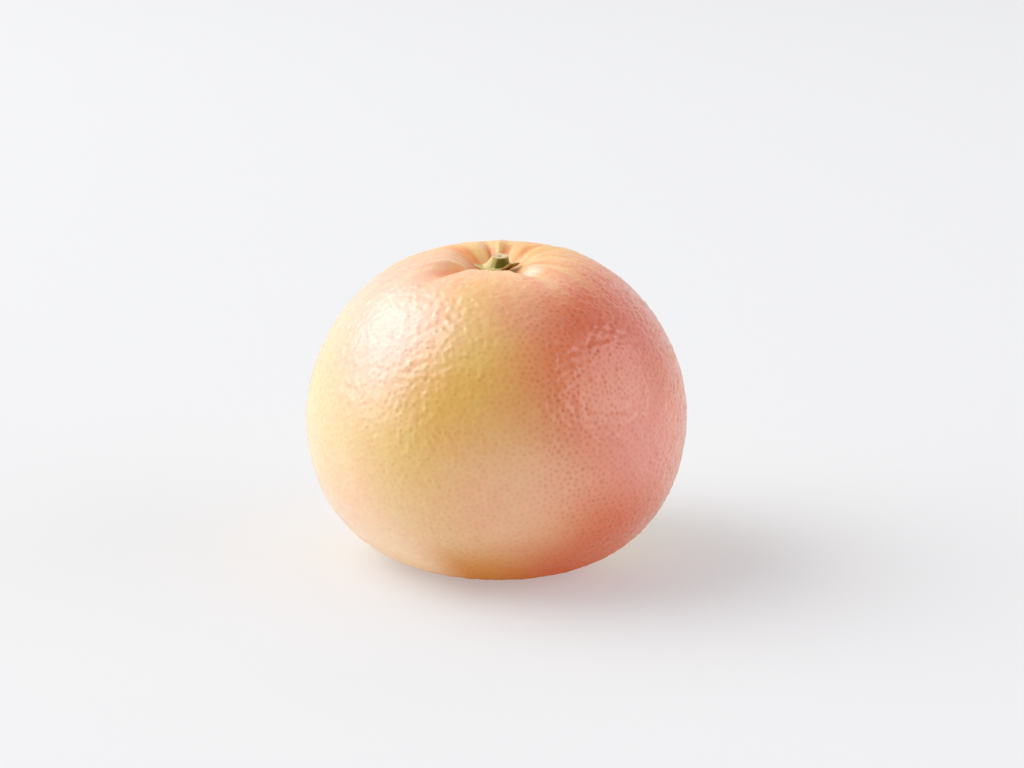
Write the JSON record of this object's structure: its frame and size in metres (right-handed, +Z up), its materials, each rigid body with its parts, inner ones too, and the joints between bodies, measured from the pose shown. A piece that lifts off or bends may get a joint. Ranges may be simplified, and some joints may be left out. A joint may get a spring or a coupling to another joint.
{
  "type": "grapefruit",
  "caption": "Whole ripe grapefruit with a folded crown, green calyx and cut stem stub, resting on its flattened blossom end.",
  "frame": {"origin": "on the surface that the fruit rests on, under the fruit's axis", "axes": "+Z up along the fruit's axis, from the blossom end to the stem; -Y is the front shown in the picture"},
  "size_m": [0.11, 0.11, 0.0902],
  "materials": {
    "peel": "waxy peel, yellow with a coral blush, closely pitted with oil glands",
    "calyx": "matte green plant tissue with dry brown tips",
    "stem": "green bark with a dry pale cut face"
  },
  "bodies": {
    "root": {"fruit": "peel", "calyx": "calyx", "stem": "stem"}
  },
  "joints": []
}
